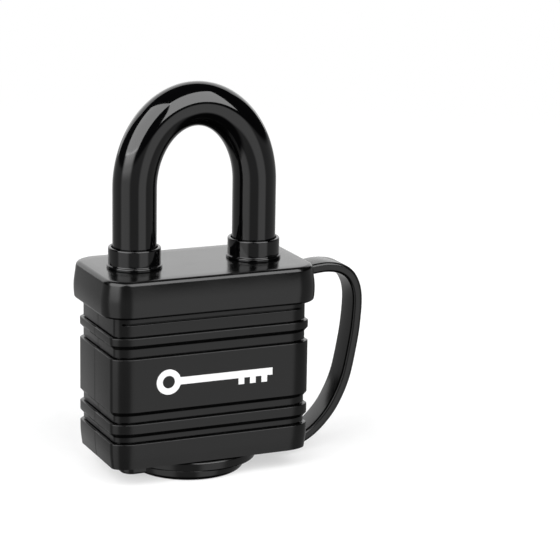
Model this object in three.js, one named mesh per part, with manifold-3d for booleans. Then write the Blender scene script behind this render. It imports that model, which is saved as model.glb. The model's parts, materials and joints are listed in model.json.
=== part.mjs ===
// A covered laminated padlock: steel plates riveted round a pin-tumbler cylinder, closed in a plastic
// shell, with a soft cap on top, a sleeved shackle and a keyway cover on a flexible strap.
// Millimetres, +Z up, +X to the strap side, -Y to the front. The origin lies under the middle of the
// body, on the flat underside of the keyway cover.
import * as THREE from 'three';
import { mergeVertices } from 'three/addons/utils/BufferGeometryUtils.js';
import Module from 'manifold-3d';

const wasm = await Module();
wasm.setup();

// Shell
const SHELL_WIDTH = 44.4;
const SHELL_DEPTH = 23.8;
const SHELL_CORNER = { along: 5.4, across: 2.9 };
const SHELL_WALL = 2.05;
const SHELL_BASE = 4.2;
const SHELL_FLOOR = 1.7;
const SHELL_TOP = 41.5;
const SHELL_SEAM = 0.04;
const GROOVE_DEPTH = 0.75;
const GROOVE_SLOPE = 0.85;
const BAND_LEDGE = 0.35;
const BOTTOM_BAND = { low: SHELL_BASE, top: 9.7 };
const LOWER_RIB = { low: 11.9, top: 13.95 };
const MIDDLE_BAND = { low: 16.5, top: 27.85 };
const UPPER_RIB = { low: 30.7, top: 32.4 };
const FOOT = [{ rise: 0, inset: 0.9 }, { rise: 0.5, inset: 0.4 }, { rise: 3.2, inset: 0.1 }];

// Cap
const CAP_BASE = 36.55;
const CAP_TOP = 44.4;
const CAP_SKIRT_PROUD = 1.65;
const CAP_BROW_PROUD = 0.95;
const CAP_EDGE = 1.3;
const CAP_CORNER = { along: 7.2, across: 5.0 };
const CAP_CEILING = 42.05;
const CAP_GAP = 0.2;
const CAP_HEM = 0.5;
const CAP_HEM_INSET = 0.3;

// Shackle
const LEG_X = 13.3;
const SHACKLE_RADIUS = 3.55;
const SLEEVE_RADIUS = 4.72;
const SLEEVE_BORE = 3.6;
const SLEEVE_END = 42.4;
const ARCH_BASE = 60.9;
const ARCH_HEIGHT = 16.98;
const TOE_END = 33.0;
const HEEL_END = 14.0;
const HEEL_HEAD_RADIUS = 4.35;
const HEEL_HEAD_HEIGHT = 1.5;
const SHACKLE_LIFT = 16.5;
const SHACKLE_SPRING = { radius: 3.2, wire: 0.5, turns: 3, gap: 0.05, turnSteps: 10, wireSides: 5 };

// Collars
const COLLAR_RADIUS = 5.5;
const COLLAR_BORE = 4.84;
const COLLAR_HEIGHT = 4.4;
const COLLAR_FOOT_RADIUS = 5.8;
const COLLAR_FOOT_HEIGHT = 0.5;
const COLLAR_SPIGOT_RADIUS = 5.15;
const COLLAR_CHAMFER = 0.3;
const COLLAR_SEAT_GAP = 0.02;

// Laminated stack
const PLATE_COUNT = 16;
const PLATE_PITCH = 2.24;
const PLATE_GAP = 0.05;
const PLATE_WIDTH = 40;
const PLATE_DEPTH = 19.4;
const PLATE_CORNER = 2;
const BAY_WIDTH = 20.7;
const BAY_DEPTH = 15;
const BAY_CORNER = 0.8;
const STACK_BASE = 6.0;
const RIVET_X = 17.3;
const RIVET_Y = 7.3;
const RIVET_RADIUS = 1.4;
const RIVET_HOLE = 1.45;
const LEG_HOLE = 3.85;
const HEEL_BORE = 4.75;
const RUNNING_GAP = 0.1;

// Lock cylinder
const PLUG_Y = -1.6;
const PLUG_RADIUS = 5.0;
const PLUG_TOP = 24.0;
const HOUSING_RADIUS = 6.5;
const HOUSING_TOP = 24.2;
const CHIMNEY_HALF = 2.6;
const CHIMNEY_BACK = 8.8;
const CHIMNEY_WALL = 0.5;
const PIN_COUNT = 4;
const PIN_FIRST = 10.2;
const PIN_PITCH = 3.3;
const PIN_RADIUS = 1.25;
const PIN_HOLE = 1.4;
const PIN_CUT_DEPTHS = [0, 0.7, 0.3, 1.0];
const PIN_TIP_REACH = 0.5;
const PIN_SPRING = { radius: 0.85, wire: 0.2, turns: 3, gap: 0.05, turnSteps: 7, wireSides: 4 };
const WELL_OVERLAP = 0.6;
const DRIVER_LENGTH = 2.2;
const KEYWAY_WIDTH = 1.7;
const KEYWAY_FRONT = -3.6;
const KEYWAY_BACK = 1.2;
const KEYWAY_TOP = 22.5;
const TAIL_RADIUS = 1.5;
const TAIL_HOLE = 1.9;
const CAM_LENGTH = 3.2;
const CAM_WIDTH = 1.2;
const CAM_DROP = 0.8;
const CAM_OVERLAP = 0.2;

// Locking levers: the toe lever lies one plate above the heel lever
const NOSE_DEPTH = 1.3;
const NOTCH_DEPTH = 1.6;
const NOTCH_CLEARANCE = 0.3;
const LEVER_HEIGHT = 1.8;
const NOSE_HALF = 1.6;
const LEVER_BRIDGE = 1.2;
const TOE_LEVER = { base: 37.5, travelRatio: 0.4, block: 2.45, arm: [-6.6, -4.2], armEnd: 0.8 };
const HEEL_LEVER = { base: 35.26, travelRatio: 0.2, block: 2.85, arm: [1.0, 3.4], armEnd: -1.0 };

// Printed mark on the front of the middle band: a plain key pictogram
const MARK_LENGTH = 26;
const MARK_HEIGHT = 5.4;
const MARK_Z = 22.4;
const MARK_INK = 0.05;
const MARK_GAP = 0.01;

// Strap and keyway cover
const STRAP_WIDTH = 6.5;
const STRAP_THICKNESS = 2.2;
const STRAP_BEVEL = 0.5;
const FLANGE_HALF_WIDTH = 13.6;
const FLANGE_HALF_DEPTH = 12.0;
const FLANGE_LOW = 1.8;
const FLANGE_TOP = 3.95;
const FLANGE_BEVEL = 0.3;
const BOSS_X = -1.2;
const BOSS_Y = 0.3;
const BOSS_RADIUS = 12.1;
const BOSS_EDGE = 0.9;
const BOSS_FLAT_SLACK = 0.002;
const SPIGOT_RADIUS = 6.2;
const SPIGOT_TOP = 5.4;
const SPIGOT_HOLE = 6.6;
const TAB_END = -17.3;
const TAB_HALF_WIDTH = 4.4;
const TAB_CORNER = 1.8;
const TAB_LOW = 0.5;
const TAB_HIGH = 2.2;
const STRAP_JOINT_X = 15.25;
const STRAP_JOINT_GAP = 0.3;
const STRAP_ROOT_X = 25.2;
const STRAP_ROOT_DEPTH = 2.5;
const STRAP_END_Z = 2.15;

// Smoothness
const CORNER_STEPS = 4;
const PLATE_CORNER_STEPS = 2;
const ARCH_STEPS = 16;
const BAR_SIDES = 14;
const ROUND_SIDES = 20;
const COVER_SIDES = 24;
const SMALL_SIDES = 10;
const RIVET_SIDES = 8;

const FULL_TURN = 2 * Math.PI;
const QUARTER_TURN = Math.PI / 2;

const lock = new THREE.Group();

// ---------- finishes ----------

function finish(color, roughness, metalness) {
  return new THREE.MeshStandardMaterial({ color, roughness, metalness });
}

const shellPlastic = () => finish(0x2c2c2e, 0.62, 0);
const capRubber = () => finish(0x2f2f30, 0.5, 0);
const glossVinyl = () => finish(0x08080a, 0.15, 0);
const steel = () => finish(0x9a9a98, 0.4, 1);
const hardSteel = () => finish(0xb4b4b2, 0.25, 1);
const whiteInk = () => finish(0xe8e8e6, 0.6, 0);
const brass = () => finish(0xc09a4a, 0.35, 1);
const springSteel = () => finish(0x85858a, 0.35, 1);

// ---------- solids and booleans ----------

function toSolid(geometry) {
  const plain = geometry.clone();
  plain.deleteAttribute('normal');
  plain.deleteAttribute('uv');
  const merged = mergeVertices(plain, 1e-5);
  return new wasm.Manifold(new wasm.Mesh({
    numProp: 3,
    vertProperties: new Float32Array(merged.attributes.position.array),
    triVerts: new Uint32Array(merged.index.array),
  }));
}

function toGeometry(solid) {
  const mesh = solid.getMesh();
  const geometry = new THREE.BufferGeometry();
  geometry.setAttribute('position', new THREE.BufferAttribute(new Float32Array(mesh.vertProperties), 3));
  geometry.setIndex(new THREE.BufferAttribute(new Uint32Array(mesh.triVerts), 1));
  return geometry;
}

function cut(base, tools) {
  return toGeometry(tools.reduce((solid, tool) => solid.subtract(toSolid(tool)), toSolid(base)));
}

function join(base, extras) {
  return toGeometry(extras.reduce((solid, extra) => solid.add(toSolid(extra)), toSolid(base)));
}

function addPiece(name, geometry, material, place = [0, 0, 0]) {
  const mesh = new THREE.Mesh(geometry, material);
  mesh.name = name;
  mesh.position.set(...place);
  lock.add(mesh);
}

// ---------- outlines and basic forms ----------

function ovalOutline(centreX, centreY, halfWidth, halfDepth, sides) {
  return Array.from({ length: sides }, (_, step) => {
    const angle = (step / sides) * FULL_TURN;
    return new THREE.Vector2(centreX + halfWidth * Math.cos(angle), centreY + halfDepth * Math.sin(angle));
  });
}

function circleOutline(centreX, centreY, radius, sides) {
  return ovalOutline(centreX, centreY, radius, radius, sides);
}

function roundedRectangle(width, depth, radius, steps = CORNER_STEPS) {
  const corners = [[1, 1, 0], [-1, 1, 1], [-1, -1, 2], [1, -1, 3]];
  return corners.flatMap(([sideX, sideY, quarter]) =>
    Array.from({ length: steps + 1 }, (_, step) => {
      const angle = (quarter + step / steps) * QUARTER_TURN;
      return new THREE.Vector2(
        sideX * (width / 2 - radius) + radius * Math.cos(angle),
        sideY * (depth / 2 - radius) + radius * Math.sin(angle),
      );
    }));
}

// A rectangle with elliptical corners, longer along the broad faces than across the sides.
function softRectangle(width, depth, corner, growth) {
  const along = corner.along + growth;
  const across = corner.across + growth;
  const quarters = [[1, 1, 0], [-1, 1, 1], [-1, -1, 2], [1, -1, 3]];
  return quarters.flatMap(([sideX, sideY, quarter]) =>
    Array.from({ length: CORNER_STEPS + 1 }, (_, step) => {
      const angle = (quarter + step / CORNER_STEPS) * QUARTER_TURN;
      return new THREE.Vector2(
        sideX * (width / 2 + growth - along) + along * Math.cos(angle),
        sideY * (depth / 2 + growth - across) + across * Math.sin(angle),
      );
    }));
}

function atHeight(outline, z) {
  return outline.map((point) => new THREE.Vector3(point.x, point.y, z));
}

// Skins a row of matching convex rings and closes both ends.
function loft(rings) {
  const sides = rings[0].length;
  const last = (rings.length - 1) * sides;
  const index = [];
  for (let level = 0; level < rings.length - 1; level += 1) {
    for (let side = 0; side < sides; side += 1) {
      const here = level * sides + side;
      const next = level * sides + ((side + 1) % sides);
      index.push(here, next, next + sides, here, next + sides, here + sides);
    }
  }
  for (let side = 1; side < sides - 1; side += 1) {
    index.push(0, side + 1, side, last, last + side, last + side + 1);
  }
  const geometry = new THREE.BufferGeometry();
  const positions = rings.flat().flatMap((point) => [point.x, point.y, point.z]);
  geometry.setAttribute('position', new THREE.Float32BufferAttribute(positions, 3));
  geometry.setIndex(index);
  return geometry;
}

function plate(outline, holes, low, thickness) {
  const shape = new THREE.Shape(outline);
  shape.holes = holes.map((hole) => new THREE.Path(hole));
  const geometry = new THREE.ExtrudeGeometry(shape, { depth: thickness, bevelEnabled: false });
  return geometry.translate(0, 0, low);
}

function block(lowX, highX, lowY, highY, lowZ, highZ) {
  const geometry = new THREE.BoxGeometry(highX - lowX, highY - lowY, highZ - lowZ);
  return geometry.translate((lowX + highX) / 2, (lowY + highY) / 2, (lowZ + highZ) / 2);
}

function upright(radius, low, high, x, y, sides) {
  return loft([low, high].map((z) => atHeight(circleOutline(x, y, radius, sides), z)));
}

// A round bar along +Y.
function crossbar(radius, lowY, highY, x, z, sides) {
  const bar = upright(radius, lowY, highY, 0, 0, sides);
  return bar.rotateX(-QUARTER_TURN).translate(x, 0, z);
}

// Sweeps a section along stations that lie in the XZ plane. Section x runs along the path's
// normal and section y along +Y.
function sweepUpright(stations, section) {
  return loft(stations.map(({ x, z, heading }) => section.map((point) => new THREE.Vector3(
    x + point.x * Math.sin(heading),
    point.y,
    z - point.x * Math.cos(heading),
  ))));
}

function helix(radius, wire, low, high, turns, stepsPerTurn, sides) {
  const section = circleOutline(0, 0, wire, sides);
  const steps = turns * stepsPerTurn;
  return loft(Array.from({ length: steps + 1 }, (_, step) => {
    const angle = (step / stepsPerTurn) * FULL_TURN;
    const z = low + wire + (high - low - 2 * wire) * (step / steps);
    return section.map((point) => new THREE.Vector3(
      (radius + point.y) * Math.cos(angle),
      (radius + point.y) * Math.sin(angle),
      z + point.x,
    ));
  }));
}

// ---------- shell ----------

function bandProfile(band) {
  return [
    [band.low - GROOVE_SLOPE, GROOVE_DEPTH],
    [band.low, 0],
    [band.top - BAND_LEDGE, 0],
    [band.top, GROOVE_DEPTH],
  ];
}

function shellProfile() {
  return [
    ...FOOT.map(({ rise, inset }) => [BOTTOM_BAND.low + rise, inset]),
    ...bandProfile(BOTTOM_BAND).slice(2),
    ...bandProfile(LOWER_RIB),
    ...bandProfile(MIDDLE_BAND),
    ...bandProfile(UPPER_RIB),
    [SHELL_TOP, GROOVE_DEPTH],
  ];
}

function shellSolid() {
  const outside = loft(shellProfile().map(([z, inset]) => atHeight(
    softRectangle(SHELL_WIDTH, SHELL_DEPTH, SHELL_CORNER, -inset),
    z,
  )));
  const room = roundedRectangle(
    SHELL_WIDTH - 2 * SHELL_WALL, SHELL_DEPTH - 2 * SHELL_WALL, PLATE_CORNER, PLATE_CORNER_STEPS,
  );
  const floor = SHELL_BASE + SHELL_FLOOR;
  const cavity = loft([floor, SHELL_TOP + 1].map((z) => atHeight(room, z)));
  const keyHole = upright(SPIGOT_HOLE, SHELL_BASE - 1, floor + 1, 0, PLUG_Y, ROUND_SIDES);
  return cut(outside, [cavity, keyHole]);
}

function shellHalf(side) {
  const far = SHELL_WIDTH;
  const seam = side * (SHELL_SEAM / 2);
  const [lowY, highY] = side > 0 ? [-far, seam] : [seam, far];
  return cut(shellSolid(), [block(-far, far, lowY, highY, -far, 2 * far)]);
}

function buildShell() {
  addPiece('shell_front', shellHalf(-1), shellPlastic());
  addPiece('shell_rear', shellHalf(1), shellPlastic());
}

// A key lying on its side: a ring for the bow, a straight blade and three square teeth.
function keyPictogram() {
  const bow = MARK_HEIGHT / 2;
  const bladeHalf = MARK_HEIGHT / 7;
  const start = -MARK_LENGTH / 2;
  const tooth = 1.3;
  const toothReach = bow * 0.8;
  const endMargin = 1.2;
  const opening = Math.asin(bladeHalf / bow);
  const steps = 24;
  const ring = Array.from({ length: steps + 1 }, (_, step) => {
    const angle = opening + (FULL_TURN - 2 * opening) * (step / steps);
    return new THREE.Vector2(start + bow + bow * Math.cos(angle), bow * Math.sin(angle));
  });
  const teeth = [2, 1, 0].flatMap((number) => {
    const right = MARK_LENGTH / 2 - endMargin - number * 2 * tooth;
    const left = right - tooth;
    return [[left, -bladeHalf], [left, -toothReach], [right, -toothReach], [right, -bladeHalf]];
  });
  const blade = [...teeth, [MARK_LENGTH / 2, -bladeHalf], [MARK_LENGTH / 2, bladeHalf]];
  const outline = [...ring, ...blade.map(([x, y]) => new THREE.Vector2(x, y))];
  return { outline, eye: circleOutline(start + bow, 0, bow / 2, ROUND_SIDES) };
}

function buildMark() {
  const { outline, eye } = keyPictogram();
  const ink = plate(outline, [eye], 0, MARK_INK);
  ink.rotateX(QUARTER_TURN).translate(0, -SHELL_DEPTH / 2 - MARK_GAP, MARK_Z);
  addPiece('printed_mark', ink, whiteInk());
}

// ---------- cap ----------

function capRing(proud, z) {
  const width = SHELL_WIDTH + 2 * CAP_SKIRT_PROUD;
  const depth = SHELL_DEPTH + 2 * CAP_SKIRT_PROUD;
  return atHeight(softRectangle(width, depth, CAP_CORNER, proud - CAP_SKIRT_PROUD), z);
}

function capOutside() {
  const edgeSteps = 3;
  const edge = Array.from({ length: edgeSteps + 1 }, (_, step) => {
    const angle = (step / edgeSteps) * QUARTER_TURN;
    const proud = CAP_BROW_PROUD - CAP_EDGE * (1 - Math.cos(angle));
    return capRing(proud, CAP_TOP - CAP_EDGE * (1 - Math.sin(angle)));
  });
  return loft([
    capRing(CAP_SKIRT_PROUD - CAP_HEM_INSET, CAP_BASE),
    capRing(CAP_SKIRT_PROUD, CAP_BASE + CAP_HEM),
    ...edge,
  ]);
}

function strapSection() {
  const thick = STRAP_THICKNESS / 2;
  const wide = STRAP_WIDTH / 2;
  const corner = [[thick, wide - STRAP_BEVEL], [thick - STRAP_BEVEL, wide]];
  const mirrored = [...corner].reverse();
  return [
    ...corner,
    ...mirrored.map(([x, y]) => [-x, y]),
    ...corner.map(([x, y]) => [-x, -y]),
    ...mirrored.map(([x, y]) => [x, -y]),
  ].map(([x, y]) => new THREE.Vector2(x, y));
}

function levelStrap(fromX, toX, z) {
  return sweepUpright([{ x: fromX, z, heading: 0 }, { x: toX, z, heading: 0 }], strapSection());
}

function buildCap() {
  const room = softRectangle(SHELL_WIDTH, SHELL_DEPTH, SHELL_CORNER, CAP_GAP);
  const cavity = loft([CAP_BASE - 1, CAP_CEILING].map((z) => atHeight(room, z)));
  const holes = [-LEG_X, LEG_X].map((x) => upright(
    COLLAR_SPIGOT_RADIUS + RUNNING_GAP, CAP_CEILING - 1, CAP_TOP + 1, x, 0, ROUND_SIDES,
  ));
  const insideWall = SHELL_WIDTH / 2 + 2 * CAP_GAP;
  const strapRoot = levelStrap(insideWall, STRAP_ROOT_X, strapRoute()[0][1]);
  addPiece('top_cap', join(cut(capOutside(), [cavity, ...holes]), [strapRoot]), capRubber());
}

// ---------- collars ----------

function collarProfile() {
  const bottom = CAP_CEILING + RUNNING_GAP;
  const seat = CAP_TOP + COLLAR_SEAT_GAP;
  const footTop = seat + COLLAR_FOOT_HEIGHT;
  const top = CAP_TOP + COLLAR_HEIGHT;
  return [
    [COLLAR_BORE, bottom],
    [COLLAR_SPIGOT_RADIUS, bottom],
    [COLLAR_SPIGOT_RADIUS, seat],
    [COLLAR_FOOT_RADIUS, seat],
    [COLLAR_FOOT_RADIUS, footTop],
    [COLLAR_RADIUS, footTop + COLLAR_CHAMFER],
    [COLLAR_RADIUS, top - COLLAR_CHAMFER],
    [COLLAR_RADIUS - COLLAR_CHAMFER, top],
    [COLLAR_BORE, top],
    [COLLAR_BORE, bottom],
  ].map(([radius, z]) => new THREE.Vector2(radius, z));
}

function buildCollars() {
  const names = { toe_collar: -LEG_X, heel_collar: LEG_X };
  for (const [name, x] of Object.entries(names)) {
    const ring = new THREE.LatheGeometry(collarProfile(), ROUND_SIDES);
    addPiece(name, ring.rotateX(QUARTER_TURN), glossVinyl(), [x, 0, 0]);
  }
}

// ---------- shackle ----------

// From the heel up, over the arch and down to the toe.
function shackleStations(heelEnd, toeEnd) {
  const arch = Array.from({ length: ARCH_STEPS + 1 }, (_, step) => {
    const angle = (step / ARCH_STEPS) * Math.PI;
    return {
      x: LEG_X * Math.cos(angle),
      z: ARCH_BASE + ARCH_HEIGHT * Math.sin(angle),
      heading: Math.atan2(ARCH_HEIGHT * Math.cos(angle), -LEG_X * Math.sin(angle)),
    };
  });
  return [
    { x: LEG_X, z: heelEnd, heading: QUARTER_TURN },
    ...arch,
    { x: -LEG_X, z: toeEnd, heading: -QUARTER_TURN },
  ];
}

// The notch's lower face slopes at the lever's own rate, so the nose clears it as the shackle rises.
function leverNotch(side, lever) {
  const surface = LEG_X - SHACKLE_RADIUS;
  const floor = surface + NOTCH_DEPTH;
  const mouth = surface - NOTCH_DEPTH / 2;
  const low = lever.base - NOTCH_CLEARANCE;
  const high = lever.base + LEVER_HEIGHT + NOTCH_CLEARANCE;
  const length = 3 * SHACKLE_RADIUS;
  const outline = [
    new THREE.Vector2(mouth, high),
    new THREE.Vector2(floor, high),
    new THREE.Vector2(floor, low),
    new THREE.Vector2(mouth, low - (floor - mouth) / lever.travelRatio),
  ];
  const wedge = new THREE.ExtrudeGeometry(new THREE.Shape(outline), { depth: length, bevelEnabled: false });
  wedge.rotateX(QUARTER_TURN).translate(0, length / 2, 0);
  return side > 0 ? wedge : wedge.rotateZ(Math.PI);
}

function buildShackle() {
  const section = circleOutline(0, 0, SHACKLE_RADIUS, BAR_SIDES);
  const bar = sweepUpright(shackleStations(HEEL_END, TOE_END), section);
  const head = upright(HEEL_HEAD_RADIUS, HEEL_END, HEEL_END + HEEL_HEAD_HEIGHT, LEG_X, 0, BAR_SIDES);
  const notches = [leverNotch(-1, TOE_LEVER), leverNotch(1, HEEL_LEVER)];
  addPiece('shackle', cut(join(bar, [head]), notches), hardSteel());
}

function buildSleeve() {
  const skin = circleOutline(0, 0, SLEEVE_RADIUS, BAR_SIDES);
  const bore = circleOutline(0, 0, SLEEVE_BORE, BAR_SIDES);
  const outside = sweepUpright(shackleStations(SLEEVE_END, SLEEVE_END), skin);
  const inside = sweepUpright(shackleStations(SLEEVE_END - 1, SLEEVE_END - 1), bore);
  addPiece('shackle_sleeve', cut(outside, [inside]), glossVinyl());
}

// ---------- laminated stack ----------

function rivetPlaces() {
  return [[-RIVET_X, -RIVET_Y], [RIVET_X, -RIVET_Y], [RIVET_X, RIVET_Y], [-RIVET_X, RIVET_Y]];
}

function plateLow(number) {
  return STACK_BASE + number * PLATE_PITCH;
}

function housingOutline(gap) {
  const radius = HOUSING_RADIUS + gap;
  const half = CHIMNEY_HALF + gap;
  const start = Math.acos(half / radius);
  const steps = 9;
  const sweep = FULL_TURN - (Math.PI - 2 * start);
  const round = Array.from({ length: steps + 1 }, (_, step) => {
    const angle = Math.PI - start + (sweep * step) / steps;
    return new THREE.Vector2(radius * Math.cos(angle), PLUG_Y + radius * Math.sin(angle));
  });
  const back = CHIMNEY_BACK + gap;
  return [...round, new THREE.Vector2(half, back), new THREE.Vector2(-half, back)];
}

function leverBay() {
  return roundedRectangle(BAY_WIDTH, BAY_DEPTH, BAY_CORNER, PLATE_CORNER_STEPS);
}

// What opens through the middle of each plate, from the keyway up to the levers.
function middleOpening(number) {
  if (number === 0) return circleOutline(0, PLUG_Y, PLUG_RADIUS + RUNNING_GAP, ROUND_SIDES);
  if (plateLow(number) < HOUSING_TOP) return housingOutline(RUNNING_GAP);
  return circleOutline(0, PLUG_Y, TAIL_HOLE, SMALL_SIDES);
}

function isLeverPlate(number) {
  const middle = plateLow(number) + PLATE_PITCH / 2;
  return middle > HEEL_LEVER.base && middle < TOE_LEVER.base + LEVER_HEIGHT;
}

function legOpenings(number) {
  const top = plateLow(number) + PLATE_PITCH;
  const headTop = HEEL_END + HEEL_HEAD_HEIGHT + SHACKLE_LIFT;
  const heelRadius = top < headTop + PLATE_PITCH ? HEEL_BORE : LEG_HOLE;
  const heel = circleOutline(LEG_X, 0, heelRadius, SMALL_SIDES);
  const toe = circleOutline(-LEG_X, 0, LEG_HOLE, SMALL_SIDES);
  if (number === 0) return [];
  return top > TOE_END ? [heel, toe] : [heel];
}

function laminationGeometry(number) {
  const outline = roundedRectangle(PLATE_WIDTH, PLATE_DEPTH, PLATE_CORNER, PLATE_CORNER_STEPS);
  const rivetHoles = rivetPlaces().map(([x, y]) => circleOutline(x, y, RIVET_HOLE, RIVET_SIDES));
  const thickness = PLATE_PITCH - PLATE_GAP;
  const isTop = number === PLATE_COUNT - 1;
  if (isLeverPlate(number)) {
    const blank = plate(outline, [...rivetHoles, leverBay()], plateLow(number), thickness);
    const legs = [-LEG_X, LEG_X].map((x) => upright(
      LEG_HOLE, plateLow(number) - 1, plateLow(number) + PLATE_PITCH, x, 0, SMALL_SIDES,
    ));
    return cut(blank, legs);
  }
  const middle = isTop ? [] : [middleOpening(number)];
  return plate(outline, [...rivetHoles, ...legOpenings(number), ...middle], plateLow(number), thickness);
}

function buildStack() {
  for (let number = 0; number < PLATE_COUNT; number += 1) {
    const inner = `lamination_${String(number).padStart(2, '0')}`;
    const ends = { 0: 'bottom_plate', [PLATE_COUNT - 1]: 'top_plate' };
    addPiece(ends[number] ?? inner, laminationGeometry(number), steel());
  }
  const stackTop = plateLow(PLATE_COUNT) - PLATE_GAP;
  rivetPlaces().forEach(([x, y], place) => {
    const shank = upright(RIVET_RADIUS, STACK_BASE, stackTop, x, y, RIVET_SIDES);
    addPiece(`rivet_${place + 1}`, shank, steel());
  });
}

// ---------- lock cylinder ----------

function pinHeights() {
  return Array.from({ length: PIN_COUNT }, (_, number) => PIN_FIRST + number * PIN_PITCH);
}

function buildHousing() {
  const low = plateLow(1);
  const blank = plate(housingOutline(0), [], low, HOUSING_TOP - low);
  const bore = upright(PLUG_RADIUS + RUNNING_GAP, low - 1, HOUSING_TOP + 1, 0, PLUG_Y, ROUND_SIDES);
  const wellEnd = CHIMNEY_BACK - CHIMNEY_WALL;
  const wells = pinHeights().map((z) => crossbar(PIN_HOLE, PLUG_Y, wellEnd, 0, z, SMALL_SIDES));
  addPiece('cylinder_housing', cut(blank, [bore, ...wells]), brass());
}

function buildPlug() {
  const body = upright(PLUG_RADIUS, STACK_BASE, PLUG_TOP, 0, PLUG_Y, ROUND_SIDES);
  const half = KEYWAY_WIDTH / 2;
  const front = PLUG_Y + KEYWAY_FRONT;
  const back = PLUG_Y + KEYWAY_BACK;
  const keyway = block(-half, half, front, back, STACK_BASE - 1, KEYWAY_TOP);
  const wells = pinHeights().map((z) => crossbar(
    PIN_HOLE, back - WELL_OVERLAP, PLUG_Y + PLUG_RADIUS + 1, 0, z, SMALL_SIDES,
  ));
  addPiece('cylinder_plug', cut(body, [keyway, ...wells]), brass());
}

function buildPins() {
  const shearLine = PLUG_Y + PLUG_RADIUS;
  const { radius, wire, turns, gap, turnSteps, wireSides } = PIN_SPRING;
  const driverEnd = shearLine + RUNNING_GAP + DRIVER_LENGTH;
  const springLow = driverEnd + gap;
  const springHigh = CHIMNEY_BACK - CHIMNEY_WALL - gap;
  pinHeights().forEach((z, number) => {
    const tip = PLUG_Y + KEYWAY_BACK - PIN_TIP_REACH + PIN_CUT_DEPTHS[number];
    const keyPin = crossbar(PIN_RADIUS, tip, shearLine - RUNNING_GAP, 0, z, SMALL_SIDES);
    const driverPin = crossbar(PIN_RADIUS, shearLine + RUNNING_GAP, driverEnd, 0, z, SMALL_SIDES);
    const spring = helix(radius, wire, springLow, springHigh, turns, turnSteps, wireSides);
    spring.rotateX(-QUARTER_TURN).translate(0, 0, z);
    addPiece(`key_pin_${number + 1}`, keyPin, brass());
    addPiece(`driver_pin_${number + 1}`, driverPin, brass());
    addPiece(`pin_spring_${number + 1}`, spring, springSteel());
  });
}

function buildTailCam() {
  const camLow = HEEL_LEVER.base - CAM_DROP;
  const camHigh = TOE_LEVER.base + LEVER_HEIGHT;
  const tail = upright(TAIL_RADIUS, PLUG_TOP + RUNNING_GAP, camLow + CAM_OVERLAP, 0, PLUG_Y, SMALL_SIDES);
  const front = PLUG_Y - CAM_LENGTH / 2;
  const blade = block(-CAM_WIDTH / 2, CAM_WIDTH / 2, front, front + CAM_LENGTH, camLow, camHigh);
  addPiece('tail_cam', join(tail, [blade]), steel());
}

// ---------- locking levers and springs ----------

// A lever is a nose that enters the shackle's notch, a bridge behind it and an arm beside the cam.
function leverGeometry(side, lever) {
  const tip = side * (LEG_X - SHACKLE_RADIUS + NOSE_DEPTH);
  const noseBack = tip - side * lever.block;
  const bridgeEnd = noseBack + side * LEVER_BRIDGE;
  const [armLow, armHigh] = lever.arm;
  const top = lever.base + LEVER_HEIGHT;
  const bar = (fromX, toX, lowY, highY) => block(
    Math.min(fromX, toX), Math.max(fromX, toX), lowY, highY, lever.base, top,
  );
  const nose = bar(noseBack, tip, -NOSE_HALF, NOSE_HALF);
  const bridge = bar(noseBack, bridgeEnd, Math.min(armLow, -NOSE_HALF), Math.max(armHigh, NOSE_HALF));
  const arm = bar(lever.armEnd, bridgeEnd, armLow, armHigh);
  return join(nose, [bridge, arm]);
}

function buildLevers() {
  addPiece('toe_lever', leverGeometry(-1, TOE_LEVER), steel());
  addPiece('heel_lever', leverGeometry(1, HEEL_LEVER), steel());
}

function buildShackleSpring() {
  const { radius, wire, turns, gap, turnSteps, wireSides } = SHACKLE_SPRING;
  const coil = helix(radius, wire, plateLow(1), HEEL_END - gap, turns, turnSteps, wireSides);
  addPiece('shackle_spring', coil, springSteel(), [LEG_X, 0, 0]);
}

// ---------- strap and keyway cover ----------

// The strap's middle line, from the cap out, round and back under the body.
function strapRoute() {
  return [
    [25.3, 41.05],
    [29.6, 41.35],
    [33.1, 40.6],
    [35.6, 38.5],
    [36.9, 34.6],
    [36.7, 28.4],
    [35.8, 22.4],
    [34.4, 16.2],
    [32.2, 11.2],
    [29.6, 7.6],
    [26.2, 4.6],
    [22.2, 2.75],
    [18.6, 2.2],
    [STRAP_JOINT_X + STRAP_JOINT_GAP, STRAP_END_Z],
  ];
}

function buildStrap() {
  const curve = new THREE.CatmullRomCurve3(strapRoute().map(([x, z]) => new THREE.Vector3(x, 0, z)));
  const steps = 28;
  const stations = Array.from({ length: steps + 1 }, (_, step) => {
    const point = curve.getPointAt(step / steps);
    const along = curve.getTangentAt(step / steps);
    return { x: point.x, z: point.z, heading: Math.atan2(along.z, along.x) };
  });
  stations[0].heading = 0;
  stations[steps].heading = Math.PI;
  addPiece('tether_strap', sweepUpright(stations, strapSection()), capRubber());
}

// The thin upper part of the cover, which closes against the shell.
function coverFlange() {
  const ring = (inset, z) => atHeight(
    ovalOutline(0, 0, FLANGE_HALF_WIDTH - inset, FLANGE_HALF_DEPTH - inset, COVER_SIDES), z,
  );
  return loft([
    ring(FLANGE_BEVEL, FLANGE_LOW),
    ring(0, FLANGE_LOW + FLANGE_BEVEL),
    ring(0, FLANGE_TOP - FLANGE_BEVEL),
    ring(FLANGE_BEVEL, FLANGE_TOP),
  ]);
}

// The flat that the boss stands on, with half as many corners as the boss has sides.
function bossFlat() {
  const corners = circleOutline(BOSS_X, BOSS_Y, BOSS_RADIUS - BOSS_EDGE, COVER_SIDES / 2);
  const middles = corners.map((corner, place) => {
    const next = corners[(place + 1) % corners.length];
    return corner.clone().lerp(next, 0.5).lerp(new THREE.Vector2(BOSS_X, BOSS_Y), BOSS_FLAT_SLACK);
  });
  return atHeight(corners.flatMap((corner, place) => [corner, middles[place]]), 0);
}

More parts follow.
